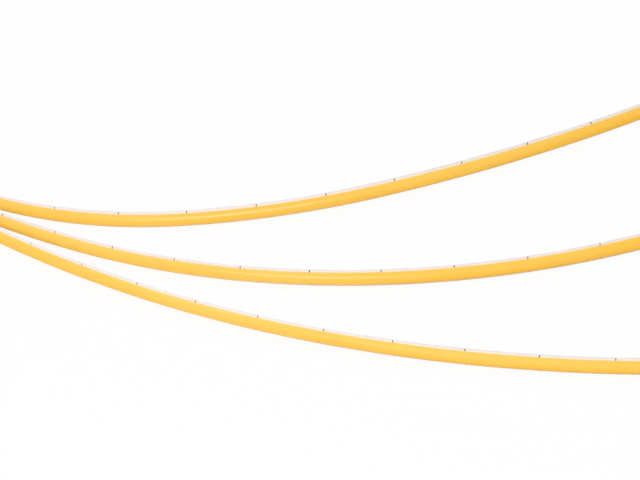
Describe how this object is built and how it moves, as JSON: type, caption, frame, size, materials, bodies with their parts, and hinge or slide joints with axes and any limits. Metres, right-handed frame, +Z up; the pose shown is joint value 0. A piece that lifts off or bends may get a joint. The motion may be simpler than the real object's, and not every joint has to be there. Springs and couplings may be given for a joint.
{
  "type": "flexible led strip",
  "caption": "Flexible LED strip with a continuous yellow phosphor bead along a white circuit with printed cut marks, standing on its long edge in loose open turns.",
  "frame": {"origin": "middle of the footprint of the turns, on the plane that the lower long edge stands on", "axes": "+Z up, across the width of the strip; +X along the longer side of the footprint, towards the free outer end; +Y to the back of the turns"},
  "size_m": [0.5638, 0.46, 0.0051],
  "materials": {
    "base_film": "satin polyimide base film, coated white",
    "bond_ply": "cured film adhesive",
    "copper": "rolled copper foil",
    "cover_film": "satin white cover film",
    "led_chip": "polished chip on a pale carrier",
    "phosphor": "satin silicone filled with yellow phosphor",
    "adhesive_tape": "tacky double-sided tape",
    "release_liner": "siliconised paper",
    "resistor": "dark glazed film resistor",
    "solder_pad": "bare copper pad with a thin gold wash",
    "solder": "reflowed tin solder",
    "mark_ink": "dark brown printed ink"
  },
  "bodies": {
    "root": {"base_film_1": "base_film", "base_film_2": "base_film", "base_film_3": "base_film", "base_film_4": "base_film", "base_film_5": "base_film", "base_film_6": "base_film", "bond_ply_1": "bond_ply", "bond_ply_2": "bond_ply", "bond_ply_3": "bond_ply", "bond_ply_4": "bond_ply", "bond_ply_5": "bond_ply", "bond_ply_6": "bond_ply", "copper_rails_1": "copper", "copper_rails_2": "copper", "copper_rails_3": "copper", "copper_rails_4": "copper", "copper_rails_5": "copper", "copper_rails_6": "copper", "cover_film_1": "cover_film", "cover_film_2": "cover_film", "cover_film_3": "cover_film", "cover_film_4": "cover_film", "cover_film_5": "cover_film", "cover_film_6": "cover_film", "led_chips_1": "led_chip", "led_chips_2": "led_chip", "led_chips_3": "led_chip", "led_chips_4": "led_chip", "led_chips_5": "led_chip", "led_chips_6": "led_chip", "phosphor_bead": "phosphor", "adhesive_tape": "adhesive_tape", "release_liner": "release_liner", "resistors": "resistor", "solder_pads": "solder_pad", "solder_joints": "solder", "cut_marks_upper": "mark_ink", "cut_marks_lower": "mark_ink"}
  },
  "joints": []
}
